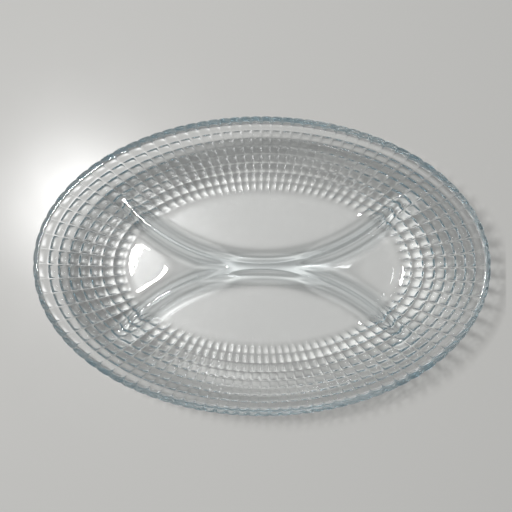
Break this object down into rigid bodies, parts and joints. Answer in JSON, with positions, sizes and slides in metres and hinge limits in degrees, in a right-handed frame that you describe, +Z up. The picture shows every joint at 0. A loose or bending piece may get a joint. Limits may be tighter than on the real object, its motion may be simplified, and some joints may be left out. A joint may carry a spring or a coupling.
{
  "type": "relish tray",
  "caption": "Oval relish tray of clear pressed glass, with a flaring wall of raised blocks, a scalloped rim and curved dividers that part it into compartments.",
  "frame": {"origin": "centre of the flat underside, on the surface that the tray stands on", "axes": "+X along the tray's length, +Y to its rear long side, +Z up"},
  "size_m": [0.2898, 0.19, 0.038],
  "materials": {
    "clear_glass": "fire-polished clear pressed glass with a faint grey-green tint"
  },
  "bodies": {
    "root": {"floor_plate": "clear_glass", "block_row_1": "clear_glass", "block_row_2": "clear_glass", "block_row_3": "clear_glass", "block_row_4": "clear_glass", "block_row_5": "clear_glass", "block_row_6": "clear_glass", "block_row_7": "clear_glass", "scalloped_rim": "clear_glass", "divider_bridge": "clear_glass", "rear_right_divider": "clear_glass", "rear_left_divider": "clear_glass", "front_left_divider": "clear_glass", "front_right_divider": "clear_glass"}
  },
  "joints": []
}
